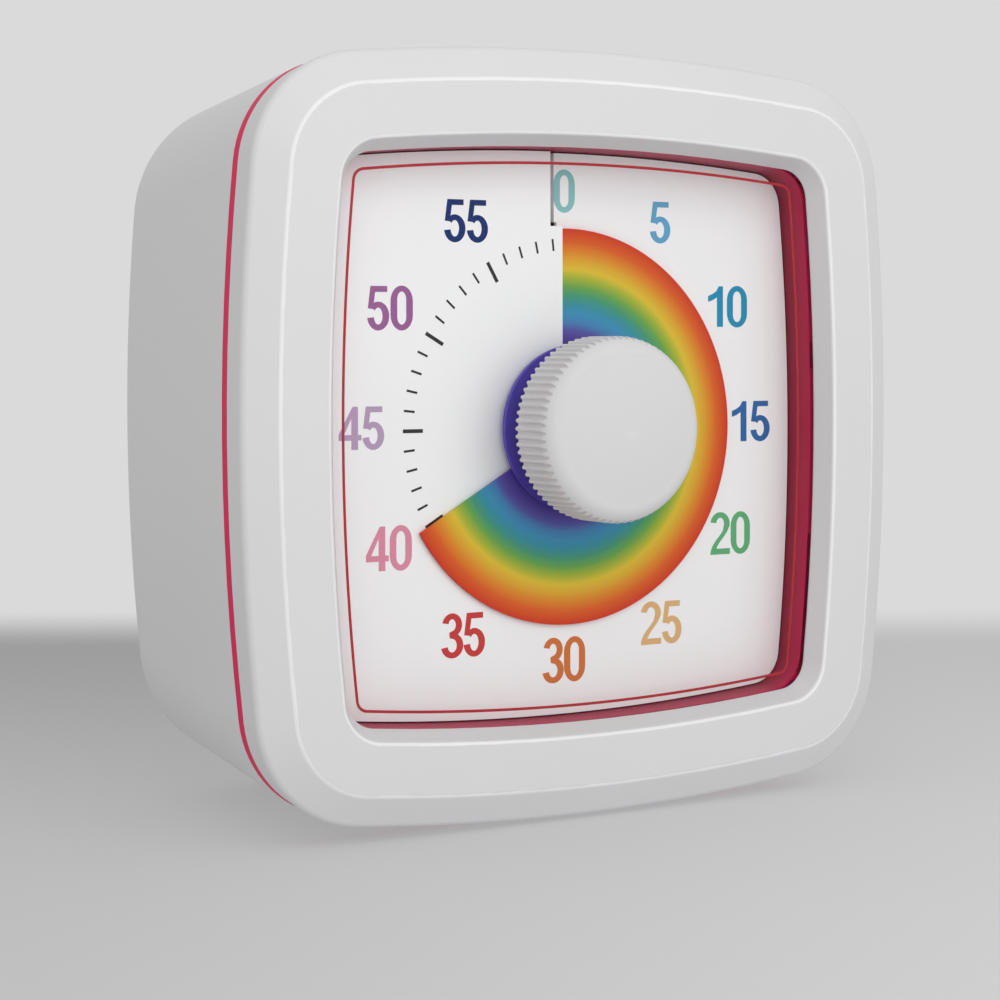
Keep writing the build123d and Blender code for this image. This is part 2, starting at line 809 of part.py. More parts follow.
def plate_screws():
    """Four small screws from the plate into the dial."""
    tip_z = dial_base_z + screw_small_bite - screw_end_gap
    points = square_of_points(plate_screw_place)
    return screws(
        points, plate_back, tip_z, screw_small_radius, screw_small_head, screw_small_height
    )


def gear(teeth, x, y, tooth_direction, z_a, z_b):
    """Spur gear with straight tooth flanks; tooth_direction points at one tooth."""
    pitch_radius = gear_module * teeth / 2
    dedendum = 1.25 * gear_module
    root_radius = pitch_radius - dedendum
    tip_radius = pitch_radius + gear_module
    lean = math.tan(math.radians(tooth_angle))
    half = tooth_share * math.pi * gear_module / 2
    half_root = half + lean * dedendum
    half_tip = half - lean * gear_module
    flank = ((root_radius, -half_root), (tip_radius, -half_tip), (tip_radius, half_tip))
    flank += ((root_radius, half_root),)
    points = []
    for tooth in range(teeth):
        middle = math.radians(tooth_direction) + 2 * math.pi * tooth / teeth
        for radius, offset in flank:
            angle = middle + offset / radius
            points.append((x + radius * math.cos(angle), y + radius * math.sin(angle)))
    face = make_face(Polyline(*points, close=True))
    low = min(z_a, z_b)
    return extrude(face, amount=abs(z_b - z_a), dir=(0, 0, 1)).moved(Location((0, 0, low)))


def centre_wheel():
    """Wheel that turns once an hour and drives the shaft through the friction clutch."""
    wheel = gear(centre_teeth, 0, 0, middle_angle, wheel_back_z, wheel_front_z)
    wheel -= rod(journal_radius + running, wheel_back_z - over, wheel_front_z + over)
    for number in range(4):
        angle = math.radians(45 + 90 * number)
        x = spoke_hole_place * math.cos(angle)
        y = spoke_hole_place * math.sin(angle)
        wheel -= rod(spoke_hole_radius, wheel_back_z - over, wheel_front_z + over, x, y)
    return wheel


def clutch_spring():
    """Dished washer that presses the wheel against the shaft's shoulder."""
    bore = journal_radius + running / 2
    with BuildPart() as washer:
        with BuildSketch(Plane.XZ):
            Polygon(
                (bore, clutch_back_z),
                (clutch_radius, wheel_back_z - clutch_sheet),
                (clutch_radius, wheel_back_z),
                (bore, clutch_back_z + clutch_sheet),
                align=None,
            )
        revolve(axis=Axis.Z)
    return washer.part


def retaining_ring():
    """Ring pressed on the shaft behind the clutch spring."""
    back = clutch_back_z - ring_thickness
    ring = rod(journal_radius + ring_width, back, clutch_back_z)
    return ring - rod(journal_radius + running / 2, back - over, clutch_back_z + over)


def middle_wheel():
    """Wheel and pinion moulded on one arbor, between centre wheel and rotor."""
    pinion_front = wheel_front_z + pinion_lap
    middle_back = middle_front_z - wheel_thickness
    pinion_direction = middle_angle + pinion_mesh_angle
    wheel = gear(middle_teeth, middle_x, middle_y, rotor_angle, middle_back, middle_front_z)
    wheel += gear(pinion_teeth, middle_x, middle_y, pinion_direction, middle_front_z, pinion_front)
    return wheel + rod(arbor_radius, arbor_back, arbor_front, middle_x, middle_y)


def rotor_pinion():
    """Motor pinion with its arbor."""
    front = middle_front_z + pinion_lap
    pinion_direction = rotor_angle + pinion_mesh_angle
    pinion = gear(pinion_teeth, rotor_x, rotor_y, pinion_direction, magnet_front_z, front)
    return pinion + rod(arbor_radius, arbor_back, arbor_front, rotor_x, rotor_y)


def rotor_magnet():
    """Ring magnet on the motor arbor."""
    back = magnet_front_z - magnet_length
    magnet = rod(magnet_radius, back, magnet_front_z, rotor_x, rotor_y)
    return magnet - rod(arbor_radius + thread_gap, back - over, magnet_front_z + over, rotor_x, rotor_y)


def stator():
    """Flat iron loop round the rotor; one side of it is the coil's core."""
    half = stator_width / 2
    arm_x = rotor_x + stator_offset
    middle_y_of_loop = (stator_top + stator_bottom) / 2
    half_height = (stator_top - stator_bottom) / 2
    across = (coil_x - arm_x) / 2
    loop = rod(magnet_radius + stator_width, stator_back, stator_front, rotor_x, rotor_y)
    loop += slab(arm_x, middle_y_of_loop, half, half_height + half, stator_back, stator_front)
    for y in (stator_top, stator_bottom):
        loop += slab(arm_x + across, y, across + half, half, stator_back, stator_front)
    loop += slab(coil_x, middle_y_of_loop, half / 2, half_height, stator_back, stator_front)
    hole = rod(magnet_radius + magnet_gap, stator_back - over, stator_front + over, rotor_x, rotor_y)
    return loop - hole


def along_coil(radius, y_a, y_b):
    """A cylinder on the coil's axis."""
    barrel = Cylinder(radius, y_b - y_a, align=(Align.CENTER, Align.CENTER, Align.MIN))
    return barrel.rotate(Axis.X, -90).moved(Location((coil_x, y_a, stator_z)))


def coil_bobbin():
    """Spool of the motor coil, with a passage for the stator's core."""
    across = stator_width / 4 + thread_gap
    middle = (coil_low + coil_high) / 2
    reach = (coil_high - coil_low) / 2 + over
    lip = coil_radius + bobbin_lip
    spool = along_coil(coil_radius - coil_build, coil_low, coil_high)
    spool += along_coil(lip, coil_low, coil_low + bobbin_flange)
    spool += along_coil(lip, coil_high - bobbin_flange, coil_high)
    return spool - slab(
        coil_x, middle, across, reach, stator_back - thread_gap, stator_front + thread_gap
    )


def coil_winding():
    """Copper winding between the spool's flanges."""
    winding = along_coil(coil_radius, coil_low + bobbin_flange, coil_high - bobbin_flange)
    return winding - along_coil(coil_radius - coil_build + thread_gap, coil_low, coil_high)


def movement_cover():
    """Box over the wheels, open towards the plate, with bearings in its back."""
    wall = cover_wall
    behind = cover_back - over
    post = stator_width / 2
    cover = box(cover_left, cover_right, cover_low, cover_high, cover_back, plate_back)
    cover = fillet(cover.edges().filter_by(Axis.Z), cover_corner)
    cover -= box(
        cover_left + wall,
        cover_right - wall,
        cover_low + wall,
        cover_high - wall,
        cover_inside,
        plate_back + over,
    )
    for x, y in cover_screw_points():
        cover += rod(screw_small_radius + cover_post_wall, cover_back, plate_back, x, y)
        cover -= rod(screw_small_radius + clearance, behind, plate_back + over, x, y)
    cover -= rod(journal_radius + running, behind, cover_inside + over)
    for x, y in ((middle_x, middle_y), (rotor_x, rotor_y)):
        cover -= rod(arbor_radius + running, behind, cover_inside + over, x, y)
    for y in (stator_bottom, stator_top):
        cover += slab(coil_x, y, post, post, cover_inside, stator_back)
    for x, y in peg_points():
        cover += rod(peg_radius, board_back - peg_radius, cover_back, x, y)
    return cover


def movement_screws():
    """Four small screws through the cover into the plate."""
    return screws(
        cover_screw_points(),
        cover_back,
        plate_back + screw_small_bite,
        screw_small_radius,
        screw_small_head,
        screw_small_height,
    )


def circuit_board():
    """Board held on the back of the movement cover by two pegs."""
    board = box(board_left, board_right, board_low, board_high, board_back, cover_back)
    for x, y in peg_points():
        board -= rod(peg_radius + clearance, board_back - over, cover_back + over, x, y)
    return board


def quartz_crystal():
    """Small can lying on the board."""
    can = Cylinder(crystal_radius, crystal_length).rotate(Axis.X, 90)
    return can.moved(Location((crystal_x, crystal_y, board_back - crystal_radius - thread_gap)))


def chip_cap():
    """Resin drop over the chip."""
    centre_z = board_back + chip_sphere - chip_height
    dome = Sphere(chip_sphere).moved(Location((chip_x, chip_y, centre_z)))
    return dome & box(-far, far, -far, far, -far, board_back)


def buzzer():
    """Brass disc with a ceramic layer on its inner side."""
    top = inner_back + buzzer_thickness
    disc = rod(buzzer_radius, inner_back, top, 0, buzzer_y)
    return disc + rod(buzzer_radius - ceramic_margin, top, top + ceramic_thickness, 0, buzzer_y)


# ---- battery -------------------------------------------------------------------------------


def across_cell(radius, x_a, x_b):
    """A cylinder on the cell's axis."""
    barrel = Cylinder(radius, x_b - x_a, align=(Align.CENTER, Align.CENTER, Align.MIN))
    return barrel.rotate(Axis.Y, 90).moved(Location((x_a, cell_y, cell_z)))


def battery_cell():
    """AA cell with its button to the right."""
    shoulder = cell_right - cell_nub_length
    body = across_cell(cell_radius, cell_left, shoulder)
    body = fillet(body.edges().filter_by(GeomType.CIRCLE), cell_edge)
    return body + across_cell(cell_nub_radius, shoulder - clearance, cell_right)


def contact(x_a, x_b):
    """A flat contact plate standing on an end wall of the bay."""
    half = contact_half
    return box(x_a, x_b, cell_y - half, cell_y + half, cell_z - half, cell_z + half)


def positive_contact():
    """Plate that the cell's button touches."""
    return contact(cell_right, bay_half)


def battery_spring():
    """Coil spring on its own plate, pressing on the cell's flat end."""
    start = -bay_half + contact_thickness
    height = cell_left - start - 2 * spring_wire
    path = Edge.make_helix(height / spring_turns, height, spring_radius)
    ring = Plane(path @ 0, x_dir=(1, 0, 0), z_dir=path % 0)
    wire = sweep(ring * Circle(spring_wire), path=path, is_frenet=True)
    foot_x = start + spring_wire - running
    return contact(-bay_half, start) + wire.rotate(Axis.Y, 90).moved(Location((foot_x, cell_y, cell_z)))


# ---- writing -------------------------------------------------------------------------------


def place(shape):
    """Stands a piece up: dial axis towards -Y, ground at Z = 0, the middle at X = Y = 0."""
    middle = (knob_front_z + case_back_z) / 2
    stand = Plane(origin=(0, middle, -foot_bottom_y), x_dir=(1, 0, 0), z_dir=(0, -1, 0))
    return stand.location * shape


PIECES = (
    front_bezel,
    trim_frame,
    lens,
    rear_housing,
    battery_door,
    switch_body,
    switch_slider,
    rubber_feet,
    housing_screws,
    dial_face,
    colour_disc,
    disc_hub,
    hub_collar,
    knob,
    drive_shaft,
    back_plate,
    plate_screws,
    centre_wheel,
    clutch_spring,
    retaining_ring,
    middle_wheel,
    rotor_pinion,
    rotor_magnet,
    stator,
    coil_bobbin,
    coil_winding,
    movement_cover,
    movement_screws,
    circuit_board,
    quartz_crystal,
    chip_cap,
    buzzer,
    battery_cell,
    positive_contact,
    battery_spring,
)

for piece in PIECES:
    export_step(place(piece()), f"parts/{piece.__name__}.step")
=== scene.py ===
import json
import math

import bmesh
import bpy
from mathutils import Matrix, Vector


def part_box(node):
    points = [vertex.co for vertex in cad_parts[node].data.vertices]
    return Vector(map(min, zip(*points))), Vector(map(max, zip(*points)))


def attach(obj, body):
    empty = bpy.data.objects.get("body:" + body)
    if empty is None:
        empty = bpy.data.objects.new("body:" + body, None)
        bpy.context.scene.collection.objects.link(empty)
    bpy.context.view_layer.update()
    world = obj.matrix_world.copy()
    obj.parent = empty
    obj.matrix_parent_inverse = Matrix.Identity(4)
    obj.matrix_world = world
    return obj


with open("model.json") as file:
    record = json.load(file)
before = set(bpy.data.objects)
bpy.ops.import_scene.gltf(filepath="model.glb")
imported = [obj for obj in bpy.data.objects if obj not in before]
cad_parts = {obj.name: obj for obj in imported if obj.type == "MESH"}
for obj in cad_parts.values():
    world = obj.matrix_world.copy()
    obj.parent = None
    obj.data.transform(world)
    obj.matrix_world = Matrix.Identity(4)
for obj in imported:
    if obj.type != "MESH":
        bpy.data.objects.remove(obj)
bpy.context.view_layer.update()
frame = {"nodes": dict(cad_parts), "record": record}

# ---- sizes, in millimetres unless a name says otherwise -------------------------------------

MM = 0.001
KNOB_FRONT = 13.6  # the knob's front before the dial
AXIS_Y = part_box("knob")[0][1] / MM + KNOB_FRONT  # the dial's place from front to back
AXIS_Z = 44.3  # the dial's axis above the ground
CASE_DROP = 0.9  # case centre below the dial's axis
BOW_OFFSET = 236.0  # case centre back to the centre of the arc that a side follows
MOUTH_HALF = 37.0  # the bezel's inner slope lies inside a rounded square of this half size
RIM_HALF = 40.0  # and the trim's rim outside one of this

PITCH = 1.3  # rise of the dial's helix in one turn
SHEET_TOP = 0.25  # front of the dial's sheet, halfway round, before the dial's plane
INK = 0.02  # thickness of a printed layer
DIGIT_GAP = 0.025  # between two digits, as a share of their height

LENS_BACK = 3.9  # back of the clear cover before the dial's plane
LINE_HALF = 30.5  # case centre to the middle of the red line's side
LINE_CORNER = 1.3  # radius of its corners
LINE_WIDTH = 0.32


def stand(x, y, z):
    """A point of the dial's frame (right, up, out of the front) in the shared frame, in metres."""
    return Vector((x * MM, (AXIS_Y - z) * MM, (y + AXIS_Z) * MM))


def srgb(red, green, blue):
    """A colour given as 0 to 255 on a screen, as the linear colour a shader takes."""
    parts = []
    for value in (red, green, blue):
        share = value / 255
        parts.append(share / 12.92 if share < 0.04045 else ((share + 0.055) / 1.055) ** 2.4)
    return (*parts, 1.0)


# ---- node trees written as Python sums ------------------------------------------------------


class Signal:
    """One output of a node, which can be added, multiplied and so on."""

    def __init__(self, sheet, socket):
        self.sheet = sheet
        self.socket = socket

    def maths(self, operation, *values):
        return self.sheet.add("ShaderNodeMath", {"operation": operation}, dict(enumerate(values)))

    def __add__(self, other):
        return self.maths("ADD", self, other)

    __radd__ = __add__

    def __sub__(self, other):
        return self.maths("SUBTRACT", self, other)

    def __rsub__(self, other):
        return self.maths("SUBTRACT", other, self)

    def __mul__(self, other):
        return self.maths("MULTIPLY", self, other)

    __rmul__ = __mul__

    def __truediv__(self, other):
        return self.maths("DIVIDE", self, other)

    def __rtruediv__(self, other):
        return self.maths("DIVIDE", other, self)

    def __pow__(self, other):
        return self.maths("POWER", self, other)

    def __rpow__(self, other):
        return self.maths("POWER", other, self)

    def __gt__(self, other):
        return self.maths("GREATER_THAN", self, other)

    def __lt__(self, other):
        return self.maths("LESS_THAN", self, other)

    def __mod__(self, other):
        return self.maths("MODULO", self, other)

    def __rmod__(self, other):
        return self.maths("MODULO", other, self)

    def __abs__(self):
        return self.maths("ABSOLUTE", self)

    def sine(self):
        return self.maths("SINE", self)

    def cosine(self):
        return self.maths("COSINE", self)

    def larger(self, other):
        return self.maths("MAXIMUM", self, other)


class Sheet:
    """A node tree that is being drawn."""

    def __init__(self, tree):
        self.tree = tree

    def add(self, kind, settings=None, inputs=None, output=0):
        """Adds a node: its settings first, then values or links on its sockets."""
        node = self.tree.nodes.new(kind)
        for name, value in (settings or {}).items():
            if name == "stops":
                elements = node.color_ramp.elements
                elements.remove(elements[1])
                elements[0].position, elements[0].color = value[0]
                for place, colour in value[1:]:
                    elements.new(place).color = colour
            else:
                setattr(node, name, value)
        for name, value in (inputs or {}).items():
            if isinstance(value, Signal):
                self.tree.links.new(value.socket, node.inputs[name])
            else:
                node.inputs[name].default_value = value
        return Signal(self, node.outputs[output] if node.outputs else None)

    def mix(self, share, first, second):
        """Two colours mixed by a share from 0 to 1."""
        kinds = {"data_type": "RGBA"}
        return self.add("ShaderNodeMix", kinds, {0: share, 6: first, 7: second}, 2)

    def place(self):
        """Where on the object a point lies, in metres."""
        return self.add("ShaderNodeTexCoord", output=3)

    def split(self, vector):
        """The X, Y and Z of a vector."""
        parts = self.add("ShaderNodeSeparateXYZ", None, {0: vector}).socket.node.outputs
        return [Signal(self, socket) for socket in parts]

    def noise(self, size_mm, detail=2.0, stretch=None):
        """Soft noise from 0 to 1 whose features are about size_mm across."""
        where = self.place()
        if stretch:
            multiply = {"operation": "MULTIPLY"}
            where = self.add("ShaderNodeVectorMath", multiply, {0: where, 1: stretch})
        settings = {"Vector": where, "Scale": 1 / (size_mm * MM), "Detail": detail}
        return self.add("ShaderNodeTexNoise", None, settings)

    def bump(self, height, strength, distance_mm):
        """Small relief made from a height from 0 to 1."""
        inputs = {"Height": height, "Strength": strength, "Distance": distance_mm * MM}
        return self.add("ShaderNodeBump", None, inputs)

    def ramp(self, value, start, end):
        """Rises softly from 0 to 1 while a value goes from start to end."""
        settings = {"interpolation_type": "SMOOTHSTEP"}
        inputs = {"Value": value, "From Min": start, "From Max": end}
        return self.add("ShaderNodeMapRange", settings, inputs)


def finish(name, draw):
    """A material; draw(sheet) returns what goes into its Principled shader."""
    material = bpy.data.materials.new(name)
    material.use_nodes = True
    sheet = Sheet(material.node_tree)
    shader = material.node_tree.nodes["Principled BSDF"]
    for socket, value in draw(sheet).items():
        if isinstance(value, Signal):
            sheet.tree.links.new(value.socket, shader.inputs[socket])
        else:
            shader.inputs[socket].default_value = value
    return material


# ---- finishes -------------------------------------------------------------------------------


def moulded(colour, roughness, grain_mm=0.3, grain=0.1, gloss=0.45):
    """Moulded plastic: faint flow marks, a fine spark-eroded grain and uneven gloss."""

    def draw(sheet):
        flow = sheet.noise(18.0, 3.0)
        fine = sheet.noise(grain_mm, 3.0)
        dark = tuple(part * 0.965 for part in colour[:3]) + (1.0,)
        return {
            "Base Color": sheet.mix(flow, dark, colour),
            "Roughness": flow * 0.06 + fine * 0.08 + (roughness - 0.07),
            "Specular IOR Level": gloss,
            "Normal": sheet.bump(fine, grain, 0.05),
        }

    return draw


def half_size(x, z):
    """Half the size, in mm, of a rounded square through a point, round the case's middle."""
    up = z / MM - (AXIS_Z - CASE_DROP)
    return ((x / MM) ** 4.0 + up**4.0) ** 0.25


def case_plastic(sheet):
    """White moulding: painted highlight makes its ridges paler, and painted shade makes the slope
    down to the lip duller.
    """
    surface = moulded(srgb(225, 225, 226), 0.46, gloss=0.4)(sheet)
    x, y, z = sheet.split(sheet.place())
    below = (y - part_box("front_bezel")[0][1]) / MM  # how far behind the flat front
    past_ridge = sheet.ramp(below, 0.1, 0.24)
    ridge = sheet.ramp(below, 0.005, 0.03) * (1.0 - past_ridge)
    slope = past_ridge * (half_size(x, z) < MOUTH_HALF)
    # painted highlight: the ridges' colour is lifted towards white, in patches
    ridge_highlight = ridge * (sheet.noise(12.0) * 0.5 + 0.45)
    with_ridge_highlight = sheet.mix(ridge_highlight, surface["Base Color"], srgb(250, 250, 251))
    # painted shade: the inner slope's colour is pulled darker
    surface["Base Color"] = sheet.mix(slope * 0.5, with_ridge_highlight, srgb(202, 202, 203))
    return surface


def trim_lacquer(sheet):
    """Crimson moulding with a soft gloss: painted shade makes it deep beside the dial, and a
    painted lit tone makes it bright at its front and rim.
    """
    flow = sheet.noise(9.0, 2.0)
    fine = sheet.noise(0.35, 2.0)
    x, y, z = sheet.split(sheet.place())
    rim = half_size(x, z) > RIM_HALF
    before_dial = AXIS_Y - y / MM + flow * 0.6
    # painted shade: the wall is darker the nearer it lies to the dial, and lighter towards the
    # front
    wall_shaded = sheet.mix(sheet.ramp(before_dial, 0.3, 4.6), srgb(138, 14, 50), srgb(190, 26, 76))
    return {
        # painted light: the rim takes a brighter pink than the wall
        "Base Color": sheet.mix(rim, wall_shaded, srgb(224, 30, 90)),
        "Roughness": fine * 0.08 + 0.42,
        "Specular IOR Level": 0.2,
        "Normal": sheet.bump(fine, 0.10, 0.02),
    }


def dial_card(sheet):
    """Matt white printed sheet with a faint paper tooth."""
    tooth = sheet.noise(0.22, 4.0)
    cloud = sheet.noise(14.0, 2.0)
    return {
        "Base Color": sheet.mix(cloud, srgb(247, 248, 248), srgb(250, 251, 251)),
        "Roughness": tooth * 0.12 + 0.48,
        "Specular IOR Level": 0.3,
        "Normal": sheet.bump(tooth, 0.08, 0.01),
    }


# the distance from the shaft in millimetres, and the colour printed there
RAINBOW = (
    (9.0, (84, 64, 160)),
    (10.5, (94, 78, 168)),
    (11.2, (88, 96, 176)),
    (12.0, (74, 136, 190)),
    (13.0, (62, 150, 192)),
    (14.0, (58, 150, 166)),
    (15.0, (70, 156, 120)),
    (16.0, (104, 168, 78)),
    (17.0, (164, 182, 56)),
    (18.0, (224, 194, 54)),
    (19.0, (224, 168, 46)),
    (20.0, (224, 136, 38)),
    (21.0, (220, 98, 32)),
    (22.6, (210, 52, 26)),
)


def rainbow_print(sheet):
    """Rings of printed colour, blended from red at the rim to indigo in the middle."""
    x, y, z = sheet.split(sheet.place())
    up = z - AXIS_Z * MM
    radius = (x * x + up * up) ** 0.5
    tooth = sheet.noise(0.2, 3.0)
    first, last = RAINBOW[0][0], RAINBOW[-1][0]
    stops = [((r - first) / (last - first), srgb(*colour)) for r, colour in RAINBOW]
    share = (radius - first * MM) / ((last - first) * MM)
    rings = sheet.add("ShaderNodeValToRGB", {"stops": stops}, {0: share + (tooth - 0.5) * 0.012})
    return {
        "Base Color": rings,
        "Roughness": tooth * 0.1 + 0.46,
        "Specular IOR Level": 0.2,
        "Normal": sheet.bump(tooth, 0.05, 0.01),
    }


def printed_ink(sheet):
    """Screen-printed ink: its colour comes with the mesh, and it is a little uneven."""
    colour = sheet.add("ShaderNodeAttribute", {"attribute_name": "ink"})
    tooth = sheet.noise(0.25, 3.0)
    pale = sheet.mix(0.02, colour, (1.0, 1.0, 1.0, 1.0))
    return {
        "Base Color": sheet.mix(tooth, colour, pale),
        "Roughness": tooth * 0.1 + 0.42,
        "Specular IOR Level": 0.12,
        "Normal": sheet.bump(tooth, 0.08, 0.008),
    }


def line_ink(sheet):
    """Red line printed on the clear cover."""
    tooth = sheet.noise(0.3, 2.0)
    return {
        "Base Color": sheet.mix(tooth, srgb(171, 42, 50), srgb(183, 50, 58)),
        "Roughness": tooth * 0.1 + 0.42,
        "Specular IOR Level": 0.2,
    }


def machined(colour, roughness, scratch_mm, stretch):
    """Bare metal with fine drawn scratches along one direction."""

    def draw(sheet):
        scratch = sheet.noise(scratch_mm, 4.0, stretch)
        stain = sheet.noise(3.0, 2.0)
        dark = tuple(part * 0.82 for part in colour[:3]) + (1.0,)
        return {
            "Base Color": sheet.mix(stain, dark, colour),
            "Metallic": 1.0,
            "Roughness": scratch * 0.18 + (roughness - 0.08),
            "Normal": sheet.bump(scratch, 0.15, 0.02),
        }

    return draw


def wound_wire(sheet):
    """Enamelled copper wire, wound turn beside turn."""
    wire = 0.16 * MM  # from one turn to the next
    x, y, z = sheet.split(sheet.place())
    height = (z * (2 * math.pi / wire)).sine() * 0.5 + 0.5
    return {
        "Base Color": sheet.mix(height, srgb(96, 40, 20), srgb(196, 104, 60)),
        "Metallic": 1.0,
        "Roughness": 0.32,
        "Normal": sheet.bump(height, 0.6, 0.06),
    }


def solder_mask(sheet):
    """Green board with paler tracks under the mask."""
    cell = sheet.add(
        "ShaderNodeTexVoronoi",
        {"distance": "CHEBYCHEV", "feature": "F1"},
        {"Vector": sheet.place(), "Scale": 1 / (2.4 * MM), "Randomness": 0.35},
    )
    track = cell > 0.42
    return {
        "Base Color": sheet.mix(track, srgb(22, 84, 48), srgb(44, 122, 70)),
        "Roughness": 0.34,
        "Normal": sheet.bump(track, 0.3, 0.03),
    }


def cell_sleeve(sheet):
    """Plain battery sleeve with bare metal ends and a darker band."""
    low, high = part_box("battery_cell")
    x, y, z = sheet.split(sheet.place())
    along = (x - (low[0] + high[0]) / 2) / (high[0] - low[0])  # -0.5 to 0.5
    end = abs(along) > 0.485
    band = along > 0.28
    scratch = sheet.noise(0.4, 3.0)
    sleeve = sheet.mix(band, srgb(60, 84, 112), srgb(176, 180, 184))
    return {
        "Base Color": sheet.mix(end, sleeve, srgb(196, 196, 194)),
        "Metallic": end * 0.6 + 0.4,
        "Roughness": scratch * 0.12 + 0.26,
    }


def rubber(sheet):
    """Matt rubber with a fine tooth."""
    tooth = sheet.noise(0.3, 4.0)
    return {
        "Base Color": sheet.mix(tooth, srgb(40, 40, 42), srgb(58, 58, 60)),
        "Roughness": tooth * 0.1 + 0.75,
        "Normal": sheet.bump(tooth, 0.3, 0.04),
    }


def brass_and_ceramic(sheet):
    """Brass disc; the ceramic layer in its middle is pale and matt."""
    low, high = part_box("buzzer")
    x, y, z = sheet.split(sheet.place())
    up = z - (low[2] + high[2]) / 2
    ceramic_radius = 10.0 * MM
    inside = (x * x + up * up) ** 0.5 < ceramic_radius
    grain = sheet.noise(0.4, 3.0)
    return {
        "Base Color": sheet.mix(inside, srgb(214, 178, 104), srgb(206, 200, 186)),
        "Metallic": 1.0 - inside,
        "Roughness": inside * 0.3 + grain * 0.1 + 0.26,
    }


def clear_cover():
    """Clear plastic: nearly all light passes, and it shines at a flat angle."""
    material = bpy.data.materials.new("clear_cover")
    material.use_nodes = True
    tree = material.node_tree
    tree.nodes.clear()
    sheet = Sheet(tree)
    shine = sheet.add("ShaderNodeFresnel", None, {"IOR": 1.45})
    gloss = sheet.add(
        "ShaderNodeBsdfPrincipled",
        None,
        {"Base Color": (0.9, 0.9, 0.9, 1.0), "Metallic": 1.0, "Roughness": 0.06},
    )
    clear = sheet.add("ShaderNodeBsdfTransparent")
    both = sheet.add("ShaderNodeMixShader", None, {0: shine * 0.12, 1: clear, 2: gloss})
    sheet.add("ShaderNodeOutputMaterial", None, {"Surface": both})
    return material


def make_finishes():
    """Every finish of the timer, by the name of its slot in the record."""
    draws = {
        "white_case": case_plastic,
        "crimson_frame": trim_lacquer,
        "dial_print": dial_card,
        "rainbow_print": rainbow_print,
        "indigo_plastic": moulded(srgb(92, 76, 184), 0.42, gloss=0.3),
        "knob_plastic": moulded(srgb(220, 220, 221), 0.66, grain_mm=0.25, grain=0.12, gloss=0.2),
        "steel": machined(srgb(178, 178, 180), 0.30, 0.5, (0.2, 1.0, 1.0)),
        "screw_steel": machined(srgb(160, 160, 160), 0.34, 0.3, (1.0, 0.3, 1.0)),
        "wheel_plastic": moulded(srgb(226, 220, 200), 0.40),
        "magnet": machined(srgb(92, 92, 96), 0.45, 0.4, (1.0, 1.0, 1.0)),
        "movement_plastic": moulded(srgb(48, 48, 50), 0.46, grain=0.25),
        "bobbin_plastic": moulded(srgb(170, 52, 40), 0.42),
        "copper_wire": wound_wire,
        "board_green": solder_mask,
        "crystal_can": machined(srgb(206, 206, 204), 0.2, 0.5, (1.0, 1.0, 0.2)),
        "resin_black": moulded(srgb(26, 26, 28), 0.24, grain_mm=0.8, grain=0.2),
        "buzzer_brass": brass_and_ceramic,
        "cell_sleeve": cell_sleeve,
        "foot_rubber": rubber,
    }
    finishes = {slot: finish(slot, draw) for slot, draw in draws.items()}
    finishes["clear_lens"] = clear_cover()
    return finishes


def dress_nodes(finishes):
    """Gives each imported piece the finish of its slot."""
    for part in frame["record"]["subparts"]:
        for slot in frame["nodes"][part["node"]].material_slots:
            slot.material = finishes[part["material_slot"]]


# ---- printed line on the clear cover --------------------------------------------------------


def bowed_square(half, corner, steps_side=24, steps_corner=10):
    """Points round a square whose sides bow outwards and whose corners are round."""
    bow = BOW_OFFSET + half
    inner_bow = bow - corner
    reach = (math.sqrt(2 * inner_bow**2 - BOW_OFFSET**2) - BOW_OFFSET) / 2
    lean = math.atan2(reach, BOW_OFFSET + reach)
    points = []
    for side in range(4):
        turn = side * math.pi / 2
        path = []
        for step in range(steps_side + 1):
            angle = lean * (2 * step / steps_side - 1)
            path.append((bow * math.cos(angle) - BOW_OFFSET, bow * math.sin(angle)))
        for step in range(1, steps_corner):
            angle = lean + (math.pi / 2 - 2 * lean) * step / steps_corner
            path.append((reach + corner * math.cos(angle), reach + corner * math.sin(angle)))
        cos, sin = math.cos(turn), math.sin(turn)
        points += [(x * cos - y * sin, x * sin + y * cos) for x, y in path]
    return points


def lens_line(material):
    """Thin closed ring of ink on the back of the cover, which follows the opening."""
    loops = []
    mesh = bmesh.new()
    half_ink = INK / 2
    ring = ((0.5, -half_ink), (0.5, half_ink), (-0.5, half_ink), (-0.5, -half_ink))
    for offset, height in ring:
        half = LINE_HALF + offset * LINE_WIDTH
        loop = []
        for x, y in bowed_square(half, LINE_CORNER + offset * LINE_WIDTH):
            loop.append(mesh.verts.new(stand(x, y - CASE_DROP, LENS_BACK + height)))
        loops.append(loop)
    count = len(loops[0])
    for level, loop in enumerate(loops):
        above = loops[(level + 1) % len(loops)]
        for place in range(count):
            after = (place + 1) % count
            mesh.faces.new((loop[place], loop[after], above[after], above[place]))
    return piece_from(mesh, "lens_line", material)


def piece_from(mesh, name, material):
    """An object in the scene from a bmesh, its faces turned outwards."""
    bmesh.ops.recalc_face_normals(mesh, faces=mesh.faces)
    data = bpy.data.meshes.new(name)
    mesh.to_mesh(data)
    mesh.free()
    data.materials.append(material)
    thing = bpy.data.objects.new(name, data)
    bpy.context.scene.collection.objects.link(thing)
    return thing


# ---- numbers ----------------------------------------------------------------------------------

# Digits are drawn in a box one unit high; every contour runs once round.
STEM = 0.172  # width of an upright stroke
BAR = 0.135  # height of a level stroke
WIDE = 0.58  # width of most digits


def oval(x, y, across, up, start, end, steps=14):
    """Points on an ellipse from one angle to another, in degrees."""
    points = []
    for step in range(steps + 1):
        angle = math.radians(start + (end - start) * step / steps)
        points.append((x + across * math.cos(angle), y + up * math.sin(angle)))
    return points


